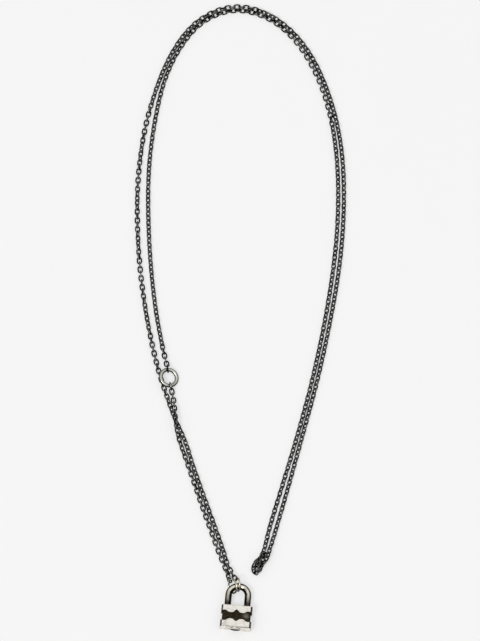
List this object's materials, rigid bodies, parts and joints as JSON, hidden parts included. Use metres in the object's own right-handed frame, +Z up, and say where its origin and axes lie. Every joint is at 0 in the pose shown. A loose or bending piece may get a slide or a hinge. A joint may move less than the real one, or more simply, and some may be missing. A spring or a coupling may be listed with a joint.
{
  "type": "padlock pendant necklace",
  "caption": "Small silver padlock pendant on a long oxidised cable chain that lies doubled and ties into a sliding adjuster ring.",
  "frame": {"origin": "middle of the laid-out necklace's box, on the surface that it lies on", "axes": "+Z up from the surface; +Y from the padlock towards the top of the neck loop; +X to the right in plan"},
  "size_m": [0.1018, 0.3146, 0.0072],
  "materials": {
    "blackened_silver": "blackened, with a grey rubbed patch",
    "satin_silver": "satin, finely scratched",
    "polished_silver": "polished, darkened in the recesses",
    "oxidised_silver": "oxidised dark with bright rubbed edges"
  },
  "bodies": {
    "necklace": {"shackle": "polished_silver", "jump_ring_left": "polished_silver", "jump_ring_right": "polished_silver", "adjuster_ring": "polished_silver", "tie_ring_top": "oxidised_silver", "tie_ring_bottom": "polished_silver", "chain_short": "oxidised_silver", "chain_long": "oxidised_silver", "chain_long_ends": "oxidised_silver"},
    "lock_body": {"lock_core": "blackened_silver", "upper_cover": "satin_silver", "lower_cover": "satin_silver"},
    "key_plug": {"key_plug": "satin_silver"}
  },
  "joints": [
    {"name": "lock_body_slide", "type": "slide", "parent": "necklace", "child": "lock_body", "axis": [-0.0906, -0.9959, 0], "range_m": [0, 0.004]},
    {"name": "key_plug_turn", "type": "hinge", "parent": "lock_body", "child": "key_plug", "pos_m": [-0.0023, -0.151, 0.0031], "axis": [0.0906, 0.9959, 0], "range_deg": [0, 90]}
  ]
}
